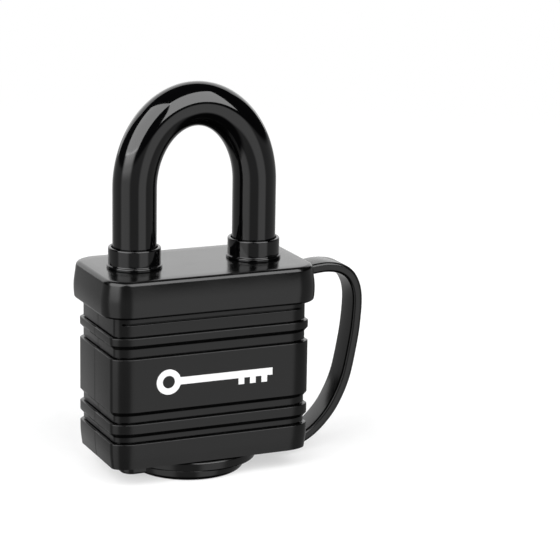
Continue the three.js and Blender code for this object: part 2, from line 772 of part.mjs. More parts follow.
// The round boss below the flange, with a rounded lower edge.
function coverBoss() {
  const edgeSteps = 3;
  const ring = (inset, z) => atHeight(circleOutline(BOSS_X, BOSS_Y, BOSS_RADIUS - inset, COVER_SIDES), z);
  const edge = Array.from({ length: edgeSteps }, (_, step) => {
    const angle = ((step + 1) / edgeSteps) * QUARTER_TURN;
    return ring(BOSS_EDGE * (1 - Math.sin(angle)), BOSS_EDGE * (1 - Math.cos(angle)));
  });
  return loft([bossFlat(), ...edge, ring(0, FLANGE_LOW + FLANGE_BEVEL)]);
}

function thumbTab() {
  const length = -TAB_END;
  const outline = roundedRectangle(length, 2 * TAB_HALF_WIDTH, TAB_CORNER);
  return plate(outline, [], TAB_LOW, TAB_HIGH - TAB_LOW).translate(TAB_END + length / 2, 0, 0);
}

function buildKeywayCover() {
  const spigot = upright(SPIGOT_RADIUS, FLANGE_LOW + FLANGE_BEVEL, SPIGOT_TOP, 0, PLUG_Y, ROUND_SIDES);
  const rootStart = FLANGE_HALF_WIDTH - STRAP_ROOT_DEPTH;
  const root = levelStrap(rootStart, STRAP_JOINT_X - STRAP_JOINT_GAP / 2, STRAP_END_Z);
  addPiece('keyway_cover', join(coverFlange(), [coverBoss(), thumbTab(), spigot, root]), capRubber());
}

buildShell();
buildMark();
buildCap();
buildCollars();
buildShackle();
buildSleeve();
buildStack();
buildHousing();
buildPlug();
buildPins();
buildTailCam();
buildLevers();
buildShackleSpring();
buildStrap();
buildKeywayCover();

export default lock;
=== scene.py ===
"""Looks of the covered laminated padlock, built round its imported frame. Lengths are in millimetres, and
become metres where a mesh is made. +Z is up, +X is the strap side and -Y the front."""
import json
import math
import bpy
import bmesh
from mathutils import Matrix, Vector
from mathutils.geometry import tessellate_polygon


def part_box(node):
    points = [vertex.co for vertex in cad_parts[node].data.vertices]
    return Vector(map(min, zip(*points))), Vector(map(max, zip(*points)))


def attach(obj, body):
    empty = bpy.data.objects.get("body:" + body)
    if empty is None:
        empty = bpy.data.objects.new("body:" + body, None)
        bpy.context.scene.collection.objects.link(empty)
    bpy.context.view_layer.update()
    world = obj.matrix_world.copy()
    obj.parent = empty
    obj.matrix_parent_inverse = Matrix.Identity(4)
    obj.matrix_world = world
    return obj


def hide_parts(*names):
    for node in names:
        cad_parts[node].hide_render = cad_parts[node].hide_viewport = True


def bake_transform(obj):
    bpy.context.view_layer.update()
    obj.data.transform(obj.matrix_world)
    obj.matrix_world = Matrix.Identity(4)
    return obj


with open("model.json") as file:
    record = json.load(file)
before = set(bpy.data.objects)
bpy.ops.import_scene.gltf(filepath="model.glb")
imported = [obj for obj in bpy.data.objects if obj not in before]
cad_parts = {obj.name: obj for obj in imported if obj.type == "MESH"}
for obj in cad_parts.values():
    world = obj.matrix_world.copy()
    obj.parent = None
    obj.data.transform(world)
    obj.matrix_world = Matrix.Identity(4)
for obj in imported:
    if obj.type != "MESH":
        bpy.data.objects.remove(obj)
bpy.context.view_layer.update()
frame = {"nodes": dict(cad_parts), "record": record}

MM = 0.001
QUARTER = math.pi / 2

# ---------- places taken from the frame ----------


def node_box(name):
    """Lowest and highest corner of a CAD node, in millimetres."""
    low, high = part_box(name)
    return low / MM, high / MM


shell_low, _ = node_box("shell_front")
_, shell_high = node_box("shell_rear")
cap_low, cap_high = node_box("top_cap")
sleeve_low, sleeve_high = node_box("shackle_sleeve")
shackle_low, _ = node_box("shackle")
collar_low, collar_high = node_box("heel_collar")
strap_low, strap_high = node_box("tether_strap")
cover_low, cover_high = node_box("keyway_cover")
toe_lever_low, toe_lever_high = node_box("toe_lever")
heel_lever_low, heel_lever_high = node_box("heel_lever")

SHELL_HALF_WIDTH = (shell_high.x - shell_low.x) / 2
SHELL_HALF_DEPTH = (shell_high.y - shell_low.y) / 2
SHELL_CORNER = (5.4, 2.9)
SHELL_WALL = 2.05
SHELL_FLOOR = 1.7
SEAM_HALF = 0.02
SEAM_CHAMFER = 0.16
PLUG_Y = -1.6
SPIGOT_HOLE = 6.6
GROOVE_DEPTH = 0.75
GROOVE_SLOPE = 0.85

CAP_TOP = shell_low.z + 40.2
SLEEVE_RADIUS = (sleeve_high.y - sleeve_low.y) / 2
LEG_X = sleeve_high.x - SLEEVE_RADIUS
SHACKLE_RADIUS = 3.55
ARCH_BASE = shell_low.z + 56.7
ARCH_HEIGHT = sleeve_high.z - SLEEVE_RADIUS - ARCH_BASE


# ---------- mesh tools ----------


def make_piece(name, points, faces, material, sharp_degrees=32):
    """A mesh object from points in millimetres, smooth except at edges sharper than that angle."""
    mesh = bpy.data.meshes.new(name)
    mesh.from_pydata([Vector(p) * MM for p in points], [], faces)
    mesh.validate()
    tool = bmesh.new()
    tool.from_mesh(mesh)
    bmesh.ops.remove_doubles(tool, verts=tool.verts, dist=1e-7)
    bmesh.ops.recalc_face_normals(tool, faces=tool.faces)
    tool.to_mesh(mesh)
    tool.free()
    mesh.shade_smooth()
    mesh.set_sharp_from_angle(angle=math.radians(sharp_degrees))
    mesh.materials.append(material)
    piece = bpy.data.objects.new(name, mesh)
    bpy.context.scene.collection.objects.link(piece)
    return piece


def grid_faces(rows, columns, wrap_rows=False, wrap_columns=True, start=0):
    faces = []
    for row in range(rows if wrap_rows else rows - 1):
        for column in range(columns if wrap_columns else columns - 1):
            next_row = (row + 1) % rows
            next_column = (column + 1) % columns
            faces.append((
                start + row * columns + column,
                start + row * columns + next_column,
                start + next_row * columns + next_column,
                start + next_row * columns + column,
            ))
    return faces


def skin(rings, caps=True, wrap=False):
    """Points and faces of a surface through matching closed rings."""
    columns = len(rings[0])
    points = [p for ring in rings for p in ring]
    faces = grid_faces(len(rings), columns, wrap_rows=wrap)
    if caps:
        faces.append(tuple(reversed(range(columns))))
        faces.append(tuple(range((len(rings) - 1) * columns, len(rings) * columns)))
    return points, faces


def merge_parts(*parts):
    """Joins several (points, faces) lists into one."""
    points, faces = [], []
    for part_points, part_faces in parts:
        shift = len(points)
        points += part_points
        faces += [tuple(i + shift for i in face) for face in part_faces]
    return points, faces


def rounded_corner(before, corner, after, radius, steps):
    """Points of an arc that rounds one corner of a 2D outline."""
    corner, before, after = Vector(corner), Vector(before), Vector(after)
    to_before, to_after = (before - corner), (after - corner)
    reach = min(to_before.length, to_after.length)
    to_before.normalize()
    to_after.normalize()
    half = math.acos(max(-1, min(1, to_before.dot(to_after)))) / 2
    cut = min(radius / math.tan(half), reach * 0.49)
    arc_radius = cut * math.tan(half)
    centre = corner + (to_before + to_after).normalized() * (arc_radius / math.sin(half))
    first = corner + to_before * cut - centre
    last = corner + to_after * cut - centre
    turn = first.angle_signed(last)
    points = []
    for step in range(steps + 1):
        angle = -turn * step / steps
        cos, sin = math.cos(angle), math.sin(angle)
        points.append((centre.x + first.x * cos - first.y * sin, centre.y + first.x * sin + first.y * cos))
    return points


def smooth_outline(corners, closed=True, steps=4):
    """Rounds each (x, y, radius) corner of a 2D outline."""
    count = len(corners)
    outline = []
    for place, (x, y, radius) in enumerate(corners):
        is_end = not closed and place in (0, count - 1)
        if radius == 0 or is_end:
            outline.append((x, y))
            continue
        before = corners[place - 1][:2]
        after = corners[(place + 1) % count][:2]
        outline += rounded_corner(before, (x, y), after, radius, steps)
    return outline


def rounded_rectangle(half_width, half_depth, along, across, steps=14):
    """A rectangle with elliptical corners that reach that far along X and across Y."""
    points = []
    for quarter, (side_x, side_y) in enumerate(((1, 1), (-1, 1), (-1, -1), (1, -1))):
        for step in range(steps + 1):
            angle = (quarter + step / steps) * QUARTER
            points.append((
                side_x * (half_width - along) + along * math.cos(angle),
                side_y * (half_depth - across) + across * math.sin(angle),
            ))
    return points


def oval(half_width, half_depth, sides, x=0.0, y=0.0):
    step = 2 * math.pi / sides
    return [(x + half_width * math.cos(i * step), y + half_depth * math.sin(i * step)) for i in range(sides)]


def at_height(outline, z):
    return [(x, y, z) for x, y in outline]


def lathe(profile, sides, x=0.0, y=0.0, closed=True):
    """Turns a closed (radius, z) profile about the upright line through x, y."""
    rings = [at_height(oval(radius, radius, sides, x, y), z) for radius, z in profile]
    return skin(rings, caps=not closed, wrap=closed)


def sweep(stations, section, wrap=False):
    """Sweeps a section along stations (x, z, heading) in the XZ plane: section x runs across the
    path, and section y along +Y."""
    rings = []
    for x, z, heading in stations:
        rings.append([(x + u * math.sin(heading), v, z - u * math.cos(heading)) for u, v in section])
    return skin(rings, caps=not wrap, wrap=wrap)


def boolean(piece, tool, operation):
    modifier = piece.modifiers.new("cut", "BOOLEAN")
    modifier.operation = operation
    modifier.solver = "EXACT"
    modifier.object = tool
    graph = bpy.context.evaluated_depsgraph_get()
    result = bpy.data.meshes.new_from_object(piece.evaluated_get(graph))
    piece.modifiers.clear()
    old = piece.data
    piece.data = result
    bpy.data.meshes.remove(old)
    bpy.data.objects.remove(tool)
    return piece


def sharpen(piece, degrees=32):
    piece.data.shade_smooth()
    piece.data.set_sharp_from_angle(angle=math.radians(degrees))


# ---------- materials ----------


def new_material(name):
    material = bpy.data.materials.new(name)
    material.use_nodes = True
    nodes = material.node_tree.nodes
    return material, nodes, material.node_tree.links, nodes["Principled BSDF"]


def noise(nodes, links, scale, detail, roughness=0.5):
    texture = nodes.new("ShaderNodeTexNoise")
    texture.inputs["Scale"].default_value = scale
    texture.inputs["Detail"].default_value = detail
    texture.inputs["Roughness"].default_value = roughness
    place = nodes.new("ShaderNodeTexCoord")
    links.new(place.outputs["Object"], texture.inputs["Vector"])
    return texture


def spread(nodes, links, source, low, high):
    """Maps a 0 to 1 value onto low to high."""
    ramp = nodes.new("ShaderNodeMapRange")
    ramp.inputs["From Min"].default_value = 0.3
    ramp.inputs["From Max"].default_value = 0.7
    ramp.inputs["To Min"].default_value = low
    ramp.inputs["To Max"].default_value = high
    links.new(source, ramp.inputs["Value"])
    return ramp.outputs["Result"]


def tone(nodes, links, source, dark, light):
    """A colour between dark and light."""
    ramp = nodes.new("ShaderNodeValToRGB")
    ramp.color_ramp.elements[0].position = 0.3
    ramp.color_ramp.elements[0].color = (*dark, 1)
    ramp.color_ramp.elements[1].position = 0.7
    ramp.color_ramp.elements[1].color = (*light, 1)
    links.new(source, ramp.inputs["Fac"])
    return ramp.outputs["Color"]


def bump(nodes, links, source, strength, height):
    node = nodes.new("ShaderNodeBump")
    node.inputs["Strength"].default_value = strength
    node.inputs["Distance"].default_value = height
    links.new(source, node.inputs["Height"])
    return node.outputs["Normal"]


def moulded(name, dark, light, ior, rough_low, rough_high, grain_per_metre, grain_height, strength=0.5):
    """Moulded plastic or rubber: a fine eroded grain, cloudy gloss and a trace of colour variation."""
    material, nodes, links, shader = new_material(name)
    clouds = noise(nodes, links, 90, 4)
    grain = noise(nodes, links, grain_per_metre, 3, 0.6)
    links.new(tone(nodes, links, clouds.outputs["Fac"], dark, light), shader.inputs["Base Color"])
    rough = spread(nodes, links, clouds.outputs["Fac"], rough_low, rough_high)
    links.new(rough, shader.inputs["Roughness"])
    links.new(bump(nodes, links, grain.outputs["Fac"], strength, grain_height), shader.inputs["Normal"])
    shader.inputs["IOR"].default_value = ior
    return material


def worn_metal(name, dark, light, rough_low, rough_high, stretch, grain_height):
    """Machined or drawn metal: fine lines along one axis and patches of duller surface."""
    material, nodes, links, shader = new_material(name)
    place = nodes.new("ShaderNodeTexCoord")
    scaling = nodes.new("ShaderNodeMapping")
    scaling.inputs["Scale"].default_value = stretch
    links.new(place.outputs["Object"], scaling.inputs["Vector"])
    lines = nodes.new("ShaderNodeTexNoise")
    lines.inputs["Scale"].default_value = 1
    lines.inputs["Detail"].default_value = 3
    links.new(scaling.outputs["Vector"], lines.inputs["Vector"])
    patches = noise(nodes, links, 160, 3)
    links.new(tone(nodes, links, patches.outputs["Fac"], dark, light), shader.inputs["Base Color"])
    rough = spread(nodes, links, lines.outputs["Fac"], rough_low, rough_high)
    links.new(rough, shader.inputs["Roughness"])
    links.new(bump(nodes, links, lines.outputs["Fac"], 0.3, grain_height), shader.inputs["Normal"])
    shader.inputs["Metallic"].default_value = 1
    return material


SHELL_BLACK = (0.001, 0.001, 0.001), (0.002, 0.002, 0.002)
CAP_BLACK = (0.001, 0.001, 0.001), (0.002, 0.002, 0.002)
VINYL_BLACK = (0.0005, 0.0005, 0.0006), (0.001, 0.001, 0.0012)
INK_WHITE = (0.72, 0.72, 0.72), (0.82, 0.82, 0.82)
shell_plastic = moulded("shell_plastic", *SHELL_BLACK, 1.42, 0.17, 0.24, 2600, 0.00001)
cap_rubber = moulded("cap_rubber", *CAP_BLACK, 1.46, 0.16, 0.22, 1800, 0.00001)
gloss_vinyl = moulded("gloss_vinyl", *VINYL_BLACK, 1.52, 0.05, 0.09, 700, 0.00001, 0.25)
white_ink = moulded("white_ink", *INK_WHITE, 1.46, 0.4, 0.5, 3000, 0.00001)
plated_steel = worn_metal("plated_steel", (0.55, 0.55, 0.56), (0.68, 0.68, 0.69), 0.14, 0.26, (900, 900, 60), 0.00001)
plain_steel = worn_metal("plain_steel", (0.42, 0.42, 0.41), (0.55, 0.55, 0.54), 0.3, 0.45, (60, 900, 900), 0.00002)
brass = worn_metal("brass", (0.62, 0.44, 0.17), (0.74, 0.55, 0.24), 0.24, 0.36, (700, 700, 60), 0.00002)
spring_steel = worn_metal("spring_steel", (0.36, 0.36, 0.38), (0.48, 0.48, 0.5), 0.25, 0.38, (500, 500, 500), 0.00001)

SLOT_MATERIALS = {
    "shell_plastic": shell_plastic,
    "cap_rubber": cap_rubber,
    "gloss_vinyl": gloss_vinyl,
    "white_ink": white_ink,
    "hardened_steel": plated_steel,
    "plain_steel": plain_steel,
    "brass": brass,
    "spring_steel": spring_steel,
}


def finish_cad_nodes():
    """Gives every CAD node the procedural material of its slot."""
    slots = {part["node"]: part["material_slot"] for part in frame["record"]["subparts"]}
    for name, node in frame["nodes"].items():
        node.data.materials.clear()
        node.data.materials.append(SLOT_MATERIALS[slots[name]])


def place_piece(piece, body, slot, *nodes):
    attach(piece, body)
    if nodes:
        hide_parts(*nodes)


# ---------- shell ----------

SLIT_DEPTH = 0.7
SLIT_HEIGHT = 0.26
FACE_SLIT = 30.7
FACE_SLIT_HEIGHT = 0.4
FACE_SLIT_TURN = 0.6
BANDS = (
    {"low": None, "top": 5.5},
    {"low": 7.7, "top": 9.75},
    {"low": 12.3, "top": 23.65},
    {"low": 26.5, "top": 28.1},
)


def shell_outer_corners():
    """Corners (inset, height above the foot, rounding) of the outside, from the foot to the top rim."""
    corners = [(0.4, 0.0, 0.4), (0.0, 3.0, 24.0)]
    for band in BANDS:
        if band["low"] is not None:
            corners += [(GROOVE_DEPTH, band["low"] - GROOVE_SLOPE, 0.35), (0.0, band["low"], 0.3)]
        corners += [
            (0.0, band["top"] - 0.05, 0.14),
            (GROOVE_DEPTH, band["top"] + 0.02, 0.0),
            (GROOVE_DEPTH + SLIT_DEPTH, band["top"] - 0.04, 0.0),
            (GROOVE_DEPTH + SLIT_DEPTH, band["top"] + SLIT_HEIGHT - 0.06, 0.0),
            (GROOVE_DEPTH, band["top"] + SLIT_HEIGHT, 0.05),
        ]
    return corners


def half_ring(inset, z, side, face_inset=None, steps=14):
    """Half of the rounded rectangle, from the +X seam round to the -X seam. The broad face, and the
    half of each corner beside it, can be set in further than the sides."""
    if face_inset is not None:
        sides = half_ring(inset, z, side, steps=steps)
        face = half_ring(face_inset, z, side, steps=steps)
        first = 2 + round(steps * FACE_SLIT_TURN)
        return sides[:first] + face[first:-first] + sides[-first:]
    half_width = SHELL_HALF_WIDTH - inset
    half_depth = SHELL_HALF_DEPTH - inset
    along, across = (max(reach - inset, 0.8) for reach in SHELL_CORNER)
    chamfer = SEAM_CHAMFER if inset < SHELL_WALL - SEAM_CHAMFER else 0.0
    points = [(half_width - chamfer, SEAM_HALF), (half_width, SEAM_HALF + chamfer)]
    for quarter in (0, 1):
        centre_x = (1 - 2 * quarter) * (half_width - along)
        for step in range(steps + 1):
            angle = (quarter + step / steps) * QUARTER
            points.append((centre_x + along * math.cos(angle), half_depth - across + across * math.sin(angle)))
    points += [(-half_width, SEAM_HALF + chamfer), (chamfer - half_width, SEAM_HALF)]
    return [(x, side * y, z) for x, y in points]


def half_hole_ring(z, side, count):
    """The keyway hole's edge on one side of the seam, with as many points as the other rings."""
    offset = side * PLUG_Y
    start = -math.asin((offset - SEAM_HALF) / SPIGOT_HOLE)
    sweep_angle = math.pi - 2 * start
    points = []
    for step in range(count):
        angle = start + sweep_angle * step / (count - 1)
        points.append((SPIGOT_HOLE * math.cos(angle), side * (offset + SPIGOT_HOLE * math.sin(angle)), z))
    return points


def build_shell_half(name, side):
    base = shell_low.z
    top = shell_high.z
    slit_floor = GROOVE_DEPTH + SLIT_DEPTH
    outside = smooth_outline(shell_outer_corners(), closed=False)
    face_slit = smooth_outline([
        (GROOVE_DEPTH, FACE_SLIT - 0.5, 0.0),
        (GROOVE_DEPTH, FACE_SLIT, 0.15),
        (slit_floor, FACE_SLIT, 0.0),
        (slit_floor, FACE_SLIT + FACE_SLIT_HEIGHT, 0.0),
        (GROOVE_DEPTH, FACE_SLIT + FACE_SLIT_HEIGHT, 0.05),
        (GROOVE_DEPTH, FACE_SLIT + 2 * FACE_SLIT_HEIGHT, 0.0),
    ], closed=False)
    inside = smooth_outline([
        (GROOVE_DEPTH, top - base, 0.0), (SHELL_WALL, top - base, 0.2), (SHELL_WALL, SHELL_FLOOR, 0.3),
    ], closed=False)
    rings = [half_ring(inset, base + height, side) for inset, height in outside]
    rings += [half_ring(GROOVE_DEPTH, base + height, side, inset) for inset, height in face_slit]
    rings += [half_ring(inset, base + height, side) for inset, height in inside]
    count = len(rings[0])
    rings.append(half_hole_ring(base + SHELL_FLOOR, side, count))
    rings.append(half_hole_ring(base, side, count))
    points = [p for ring in rings for p in ring]
    faces = grid_faces(len(rings), count, wrap_rows=True, wrap_columns=False)
    faces.append(tuple(row * count for row in range(len(rings))))
    faces.append(tuple(row * count + count - 1 for row in reversed(range(len(rings)))))
    piece = make_piece(name + "_skin", points, faces, shell_plastic, 28)
    place_piece(piece, "body", "shell_plastic", name)


# ---------- cap ----------

CAP_CORNER = (6.2, 5.6)
CAP_WALL_GAP = 0.2
CAP_CEILING = 2.35
COLLAR_SEAT = 5.25


def build_cap():
    skirt_half_width = -cap_low.x
    skirt_half_depth = (cap_high.y - cap_low.y) / 2
    height = CAP_TOP - cap_low.z
    brow = 0.7
    ceiling = height - CAP_CEILING
    inner_inset = skirt_half_width - SHELL_HALF_WIDTH - CAP_WALL_GAP
    outline = smooth_outline([
        (inner_inset, ceiling, 0.2),
        (inner_inset, 0.0, 0.25),
        (0.22, 0.0, 0.8),
        (0.0, 2.9, 26.0),
        (brow, height, 1.05),
        (brow + 3.0, height, 0.0),
    ], closed=False, steps=7)
    rings = []
    for inset, above in outline:
        along, across = (max(reach - inset, 1.2) for reach in CAP_CORNER)
        ring = rounded_rectangle(skirt_half_width - inset, skirt_half_depth - inset, along, across)
        rings.append(at_height(ring, cap_low.z + above))
    points, faces = skin(rings, caps=False)
    count = len(rings[0])
    hole_sides = 48
    holes = [oval(COLLAR_SEAT, COLLAR_SEAT, hole_sides, x) for x in (-LEG_X, LEG_X)]
    for level, outer in ((CAP_TOP, range(len(points) - count, len(points))), (cap_low.z + ceiling, range(count))):
        outer = list(outer)
        loops = [[Vector(points[i]) for i in outer]]
        index = list(outer)
        for hole in holes:
            start = len(points)
            points += at_height(hole, level)
            index += range(start, start + hole_sides)
            loops.append([Vector(p) for p in points[start:]])
        faces += [tuple(index[i] for i in triangle) for triangle in tessellate_polygon(loops)]
    top_start = len(points) - 4 * hole_sides
    for hole in range(2):
        upper = top_start + hole * hole_sides
        lower = upper + 2 * hole_sides
        for side in range(hole_sides):
            after = (side + 1) % hole_sides
            faces.append((upper + side, upper + after, lower + after, lower + side))
    piece = make_piece("cap_moulding", points, faces, cap_rubber, 30)
    place_piece(piece, "body", "cap_rubber", "top_cap")


# ---------- collars and shackle ----------

COLLAR_BORE = 4.84


def build_collar(node, x):
    low, high = collar_low.z, collar_high.z
    radius = COLLAR_BORE + 0.66
    foot = (collar_high.x - collar_low.x) / 2
    seat = CAP_TOP + 0.02
    profile = smooth_outline([
        (COLLAR_BORE, low, 0.1),
        (COLLAR_SEAT - 0.1, low, 0.1),
        (COLLAR_SEAT - 0.1, seat, 0.0),
        (foot, seat, 0.12),
        (foot, seat + 0.55, 0.25),
        (radius, seat + 0.8, 0.25),
        (radius, high, 0.45),
        (COLLAR_BORE, high, 0.2),
    ], steps=5)
    points, faces = lathe(profile, 72, x)
    piece = make_piece(node + "_seal", points, faces, gloss_vinyl, 35)
    place_piece(piece, "body", "gloss_vinyl", node)


def shackle_stations(heel_end, toe_end, arch_steps=72):
    """From the heel up, over the arch and down to the toe."""
    stations = [(LEG_X, heel_end, QUARTER)]
    for step in range(arch_steps + 1):
        angle = math.pi * step / arch_steps
        heading = math.atan2(ARCH_HEIGHT * math.cos(angle), -LEG_X * math.sin(angle))
        stations.append((LEG_X * math.cos(angle), ARCH_BASE + ARCH_HEIGHT * math.sin(angle), heading))
    stations.append((-LEG_X, toe_end, -QUARTER))
    return stations


def build_sleeve():
    bore = 3.6
    end = sleeve_low.z
    sides = 56
    outer_points, outer_faces = sweep(shackle_stations(end, end), oval(SLEEVE_RADIUS, SLEEVE_RADIUS, sides))
    inner_points, inner_faces = sweep(shackle_stations(end, end), oval(bore, bore, sides))
    points, faces = merge_parts((outer_points, outer_faces[:-2]), (inner_points, inner_faces[:-2]))
    shift = len(outer_points)
    for row_start in (0, shift - sides):
        for side in range(sides):
            after = (side + 1) % sides
            faces.append((
                row_start + side, row_start + after, shift + row_start + after, shift + row_start + side,
            ))
    piece = make_piece("shackle_vinyl_sleeve", points, faces, gloss_vinyl, 40)
    place_piece(piece, "shackle_bow", "gloss_vinyl", "shackle_sleeve")


def notch_tool(side, lever_low, lever_high, travel_ratio):
    """A wedge that cuts one lever notch into a leg."""
    surface = LEG_X - SHACKLE_RADIUS
    floor = surface + 1.6
    mouth = surface - 0.8
    low = lever_low.z - 0.3
    high = lever_high.z + 0.3
    outline = [(mouth, high), (floor, high), (floor, low), (mouth, low - (floor - mouth) / travel_ratio)]
    rings = [[(side * x, y, z) for x, z in outline] for y in (-5, 5)]
    points, faces = skin(rings)
    return make_piece("notch_tool", points, faces, plated_steel)


def build_shackle():
    bar_points, bar_faces = sweep(
        shackle_stations(shackle_low.z, shackle_low.z + 19), oval(SHACKLE_RADIUS, SHACKLE_RADIUS, 48))
    piece = make_piece("shackle_bar", bar_points, bar_faces, plated_steel)
    head = lathe(smooth_outline([
        (0.0, 0.0, 0.0), (4.3, 0.0, 0.4), (4.3, 1.5, 0.2), (3.0, 1.9, 0.0), (0.0, 1.9, 0.0),
    ], closed=False), 48, LEG_X, closed=False)
    head_points = [(x, y, z + shackle_low.z) for x, y, z in head[0]]
    head_piece = make_piece("head_tool", head_points, head[1], plated_steel)
    boolean(piece, head_piece, "UNION")
    boolean(piece, notch_tool(-1, toe_lever_low, toe_lever_high, 0.4), "DIFFERENCE")
    boolean(piece, notch_tool(1, heel_lever_low, heel_lever_high, 0.2), "DIFFERENCE")
    sharpen(piece)
    place_piece(piece, "shackle_bow", "hardened_steel", "shackle")


# ---------- strap and keyway cover ----------

STRAP_ROUTE = (
    (23.0, 41.0), (25.3, 41.05), (29.6, 41.35), (33.1, 40.6), (35.6, 38.5), (36.9, 34.6), (36.7, 28.4),
    (35.8, 22.4), (34.4, 16.2), (32.2, 11.2), (29.6, 7.6), (26.2, 4.6), (22.2, 2.75), (18.6, 2.2),
    (15.5, 2.15), (11.0, 2.15),
)
STRAP_THICKNESS = 2.2
STRAP_HALF_WIDTH = (strap_high.y - strap_low.y) / 2


def curve_point(route, at):
    """A point and its direction on the smooth curve through the route's points."""
    span = min(int(at), len(route) - 2)
    t = at - span
    p0 = Vector(route[max(span - 1, 0)])
    p1, p2 = Vector(route[span]), Vector(route[span + 1])
    p3 = Vector(route[min(span + 2, len(route) - 1)])
    a, b, c = 2 * p0 - 5 * p1 + 4 * p2 - p3, 3 * p1 - p0 - 3 * p2 + p3, p2 - p0
    point = (2 * p1 + c * t + a * t * t + b * t ** 3) / 2
    along = (c + 2 * a * t + 3 * b * t * t) / 2
    return point, along


def build_strap():
    half_thick = STRAP_THICKNESS / 2
    section = smooth_outline([
        (half_thick, STRAP_HALF_WIDTH, 0.7), (-half_thick, STRAP_HALF_WIDTH, 0.7),
        (-half_thick, -STRAP_HALF_WIDTH, 0.7), (half_thick, -STRAP_HALF_WIDTH, 0.7),
    ], steps=6)
    steps = 12
    stations = []
    for step in range((len(STRAP_ROUTE) - 1) * steps + 1):
        point, along = curve_point(STRAP_ROUTE, step / steps)
        stations.append((point.x, point.y, math.atan2(along.y, along.x)))
    points, faces = sweep(stations, section)
    piece = make_piece("strap_band", points, faces, cap_rubber, 50)
    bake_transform(piece)
    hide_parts("tether_strap")


FLANGE_HALF_WIDTH = 13.6
FLANGE_HALF_DEPTH = 12.0
FLANGE_LOW = 1.8
FLANGE_TOP = 3.95
BOSS_X = -1.2
BOSS_Y = 0.3
BOSS_RADIUS = 12.1


def oval_slab(half_width, half_depth, low, high, low_edge, high_edge, x=0.0, y=0.0):
    """An upright oval slab with rounded lower and upper edges."""
    profile = smooth_outline([
        (half_depth, low, 0.0), (0.0, low, low_edge), (0.0, high, high_edge), (half_depth, high, 0.0),
    ], closed=False, steps=9)
    rings = []
    for inset, z in profile:
        inset = min(inset, half_depth - 0.3)
        rings.append(at_height(oval(half_width - inset, half_depth - inset, 96, x, y), z))
    return skin(rings)


def build_keyway_cover():
    flange = oval_slab(FLANGE_HALF_WIDTH, FLANGE_HALF_DEPTH, FLANGE_LOW, FLANGE_TOP, 0.5, 0.45)
    boss = oval_slab(BOSS_RADIUS, BOSS_RADIUS, 0.0, FLANGE_LOW + 0.3, 1.1, 0.1, BOSS_X, BOSS_Y)
    tab_low, tab_high = 0.5, 2.2
    tab_end = cover_low.x
    tab_half = -tab_end / 2
    tab_profile = smooth_outline([
        (2.4, tab_low, 0.0), (0.0, tab_low, 0.5), (0.0, tab_high, 0.5), (2.4, tab_high, 0.0),
    ], closed=False, steps=5)
    tab = skin([
        [(x + tab_end + tab_half, y, z) for x, y, z in at_height(
            rounded_rectangle(tab_half - inset, 4.4 - inset, 2.6 - inset, 2.6 - inset), height)]
        for inset, height in tab_profile
    ])
    spigot_top = cover_high.z
    spigot = lathe(smooth_outline([
        (6.2, FLANGE_TOP - 0.4, 0.0), (6.2, spigot_top, 0.35), (4.4, spigot_top, 0.3), (4.4, FLANGE_TOP - 0.4, 0.0),
    ]), 64, 0, PLUG_Y)
    points, faces = merge_parts(flange, boss, tab, spigot)
    piece = make_piece("keyway_cover_moulding", points, faces, cap_rubber, 30)
    place_piece(piece, "cover_body", "cap_rubber", "keyway_cover")


# ---------- camera, floor and light ----------


def build_camera():
    azimuth = math.radians(-24.254)
    elevation = math.radians(13.990)
    roll = math.radians(0.990)
    distance = 0.49239
    target = Vector((0.019762, 0.0, 0.038681))
    back = Vector((
        math.sin(azimuth) * math.cos(elevation), -math.cos(azimuth) * math.cos(elevation), math.sin(elevation),
    ))
    data = bpy.data.cameras.new("camera")
    data.sensor_width = 36
    data.lens = 36 * 2301.6 / 560
    data.clip_start = 0.05
    data.clip_end = 20
    camera = bpy.data.objects.new("camera", data)
    camera.location = target + back * distance
    turn = (-back).to_track_quat("-Z", "Y").to_matrix()
    right, up = turn.col[0].copy(), turn.col[1].copy()
    rolled_right = right * math.cos(roll) + up * math.sin(roll)
    rolled_up = up * math.cos(roll) - right * math.sin(roll)
    matrix = turn.to_4x4()
    for row in range(3):
        matrix[row][0] = rolled_right[row]
        matrix[row][1] = rolled_up[row]
        matrix[row][3] = camera.location[row]
    camera.matrix_world = matrix
    bpy.context.scene.collection.objects.link(camera)
    bpy.context.scene.camera = camera


# The softboxes: the azimuth (0 is the front, 90 the strap side) and elevation of the middle, the width and
# height that each fills, all in degrees, and how bright it is.
SOFTBOXES = {
    "left_softbox": (-70, 40, 60, 50, 3.6),
    "right_softbox": (20, 40, 50, 50, 3.8),
    "back_panel": (165, 25, 85, 45, 1.1),
}
# The brightness of the floor all round, and the share of a softbox's brightness that it adds below itself.
FLOOR_LEVEL = 0.3
FLOOR_SHARE = 0.2
# The left softbox's spill below its lower edge: its brightness there, and the height where it ends.
SPILL_PEAK = 4.5
SPILL_LOW = -0.1
# The share of the paper's own light in what is seen of it by the padlock, which lightens the shadow,
# and the distances in metres between which it grows to all of it.
PAPER_GLOW = 0.55
PAPER_START = 0.15
PAPER_END = 0.5
ROOM_LIGHT = 0.015


def mapped(nodes, links, source, low, high):
    """A smooth 0 to 1 step as the source goes from low to high."""
    step = nodes.new("ShaderNodeMapRange")
    step.interpolation_type = "SMOOTHSTEP"
    step.inputs["From Min"].default_value = low
    step.inputs["From Max"].default_value = high
    links.new(source, step.inputs["Value"])
    return step.outputs["Result"]


def maths(nodes, links, operation, first, second):
    node = nodes.new("ShaderNodeMath")
    node.operation = operation
    for socket, value in zip(node.inputs, (first, second)):
        if isinstance(value, (int, float)):
            socket.default_value = value
        else:
            links.new(value, socket)
    return node.outputs["Value"]


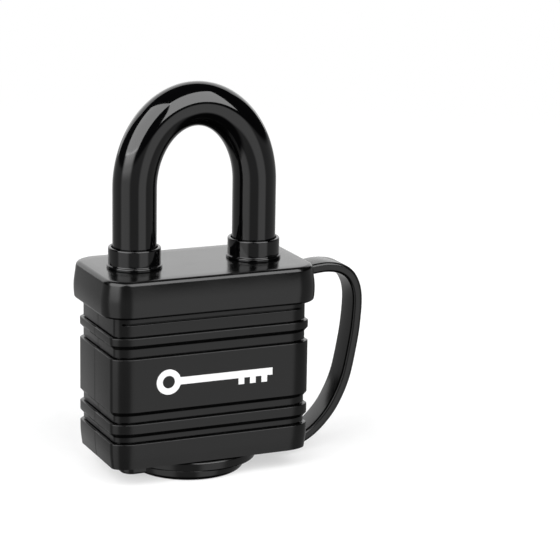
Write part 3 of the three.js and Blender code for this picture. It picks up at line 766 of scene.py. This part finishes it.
def vector_maths(nodes, links, operation, source, constant=None):
    node = nodes.new("ShaderNodeVectorMath")
    node.operation = operation
    links.new(source, node.inputs[0])
    if constant:
        node.inputs[1].default_value = constant
    return node.outputs["Value" if operation in ("LENGTH", "DOT_PRODUCT") else "Vector"]


def paper_material():
    """Pale paper, clear to reflections, which see the studio below the horizon instead."""
    material, nodes, links, shader = new_material("floor_paper")
    fibres = noise(nodes, links, 300, 4)
    seen = tone(nodes, links, fibres.outputs["Fac"], (0.86, 0.86, 0.86), (0.88, 0.88, 0.88))
    links.new(seen, shader.inputs["Base Color"])
    shader.inputs["Roughness"].default_value = 0.8
    shader.inputs["Specular IOR Level"].default_value = 0
    place = nodes.new("ShaderNodeTexCoord")
    distance = vector_maths(nodes, links, "LENGTH", place.outputs["Object"])
    bright = nodes.new("ShaderNodeEmission")
    bright.inputs["Strength"].default_value = 1
    fade = mapped(nodes, links, distance, PAPER_START, PAPER_END)
    share = maths(nodes, links, "ADD", maths(nodes, links, "MULTIPLY", fade, 1 - PAPER_GLOW), PAPER_GLOW)
    paper = nodes.new("ShaderNodeMixShader")
    links.new(share, paper.inputs["Fac"])
    links.new(shader.outputs["BSDF"], paper.inputs[1])
    links.new(bright.outputs["Emission"], paper.inputs[2])
    clear = nodes.new("ShaderNodeBsdfTransparent")
    ray = nodes.new("ShaderNodeLightPath")
    mix = nodes.new("ShaderNodeMixShader")
    links.new(ray.outputs["Is Camera Ray"], mix.inputs["Fac"])
    links.new(clear.outputs["BSDF"], mix.inputs[1])
    links.new(paper.outputs["Shader"], mix.inputs[2])
    links.new(mix.outputs["Shader"], nodes["Material Output"].inputs["Surface"])
    return material


def build_floor():
    size = 4000
    points = [(-size, -size, -0.05), (size, -size, -0.05), (size, size, -0.05), (-size, size, -0.05)]
    floor = make_piece("floor", points, [(0, 1, 2, 3)], paper_material())


def softbox(name, azimuth, elevation, width, height, brightness, distance=1.2):
    """A soft panel facing the padlock. Azimuth 0 is the front and 90 the strap side; width and height
    are the angles it fills, in degrees."""
    data = bpy.data.lights.new(name, "AREA")
    data.shape = "RECTANGLE"
    data.size = 2 * distance * math.tan(math.radians(width) / 2)
    data.size_y = 2 * distance * math.tan(math.radians(height) / 2)
    data.energy = brightness * data.size * data.size_y * 4
    light = bpy.data.objects.new(name, data)
    turn, rise = math.radians(azimuth), math.radians(elevation)
    towards = Vector((math.sin(turn) * math.cos(rise), -math.cos(turn) * math.cos(rise), math.sin(rise)))
    middle = Vector((0, 0, 0.045))
    light.location = middle + towards * distance
    light.rotation_euler = (-towards).to_track_quat("-Z", "Y").to_euler()
    light.visible_camera = False
    bpy.context.scene.collection.objects.link(light)


def beside(nodes, links, direction, azimuth, width):
    """1 in the middle half of a sector of that width round an azimuth, fading to 0 at its edges."""
    level = vector_maths(nodes, links, "MULTIPLY", direction, (1, 1, 0))
    level = vector_maths(nodes, links, "NORMALIZE", level)
    turn = math.radians(azimuth)
    facing = vector_maths(nodes, links, "DOT_PRODUCT", level, (math.sin(turn), -math.cos(turn), 0))
    return mapped(nodes, links, facing, math.cos(math.radians(width / 2)), math.cos(math.radians(width / 4)))


def floor_light(nodes, links, direction, height):
    """An even floor, brighter below each softbox, that ends in the padlock's own shade."""
    floor = FLOOR_LEVEL
    for azimuth, _, width, _, brightness in SOFTBOXES.values():
        lit = beside(nodes, links, direction, azimuth, width)
        floor = maths(nodes, links, "ADD", maths(nodes, links, "MULTIPLY", lit, FLOOR_SHARE * brightness), floor)
    below = mapped(nodes, links, height, 0.10, 0.02)
    shallow = mapped(nodes, links, height, -0.70, -0.55)
    return maths(nodes, links, "MULTIPLY", maths(nodes, links, "MULTIPLY", below, shallow), floor)


def spill_light(nodes, links, direction, height):
    """The left softbox's spill, which fades downwards from its lower edge."""
    azimuth, elevation, width, tall, _ = SOFTBOXES["left_softbox"]
    edge = math.sin(math.radians(elevation - tall / 2))
    rising = mapped(nodes, links, height, SPILL_LOW, edge)
    falling = mapped(nodes, links, height, edge + 0.01, edge - 0.01)
    fading = maths(nodes, links, "MULTIPLY", rising, falling)
    lit = maths(nodes, links, "MULTIPLY", fading, beside(nodes, links, direction, azimuth, width))
    return maths(nodes, links, "MULTIPLY", lit, SPILL_PEAK)


def studio_light(nodes, links):
    """Strength of the light from the room, the floor and the left softbox's spill, in each direction."""
    place = nodes.new("ShaderNodeTexCoord")
    direction = place.outputs["Generated"]
    split = nodes.new("ShaderNodeSeparateXYZ")
    links.new(direction, split.inputs["Vector"])
    height = split.outputs["Z"]
    floor = floor_light(nodes, links, direction, height)
    spill = spill_light(nodes, links, direction, height)
    return maths(nodes, links, "ADD", maths(nodes, links, "ADD", floor, spill), ROOM_LIGHT)


def build_world():
    """A dim studio round the softboxes, with a lit floor below, which the camera itself sees as pale."""
    world = bpy.data.worlds.new("studio")
    world.use_nodes = True
    nodes, links = world.node_tree.nodes, world.node_tree.links
    room = nodes["Background"]
    room.inputs["Color"].default_value = (1, 1, 1, 1)
    links.new(studio_light(nodes, links), room.inputs["Strength"])
    pale = nodes.new("ShaderNodeBackground")
    pale.inputs["Strength"].default_value = 1
    ray = nodes.new("ShaderNodeLightPath")
    mix = nodes.new("ShaderNodeMixShader")
    links.new(ray.outputs["Is Camera Ray"], mix.inputs["Fac"])
    links.new(room.outputs["Background"], mix.inputs[1])
    links.new(pale.outputs["Background"], mix.inputs[2])
    links.new(mix.outputs["Shader"], nodes["World Output"].inputs["Surface"])
    bpy.context.scene.world = world


def build_light():
    bpy.context.scene.view_settings.view_transform = "Standard"
    build_world()
    for name, (azimuth, elevation, width, height, brightness) in SOFTBOXES.items():
        softbox(name, azimuth, elevation, width, height, brightness)


# ---------- the object ----------

finish_cad_nodes()
build_shell_half("shell_front", -1)
build_shell_half("shell_rear", 1)
build_cap()
build_collar("toe_collar", -LEG_X)
build_collar("heel_collar", LEG_X)
build_sleeve()
build_shackle()
build_strap()
build_keyway_cover()
build_camera()
build_floor()
build_light()
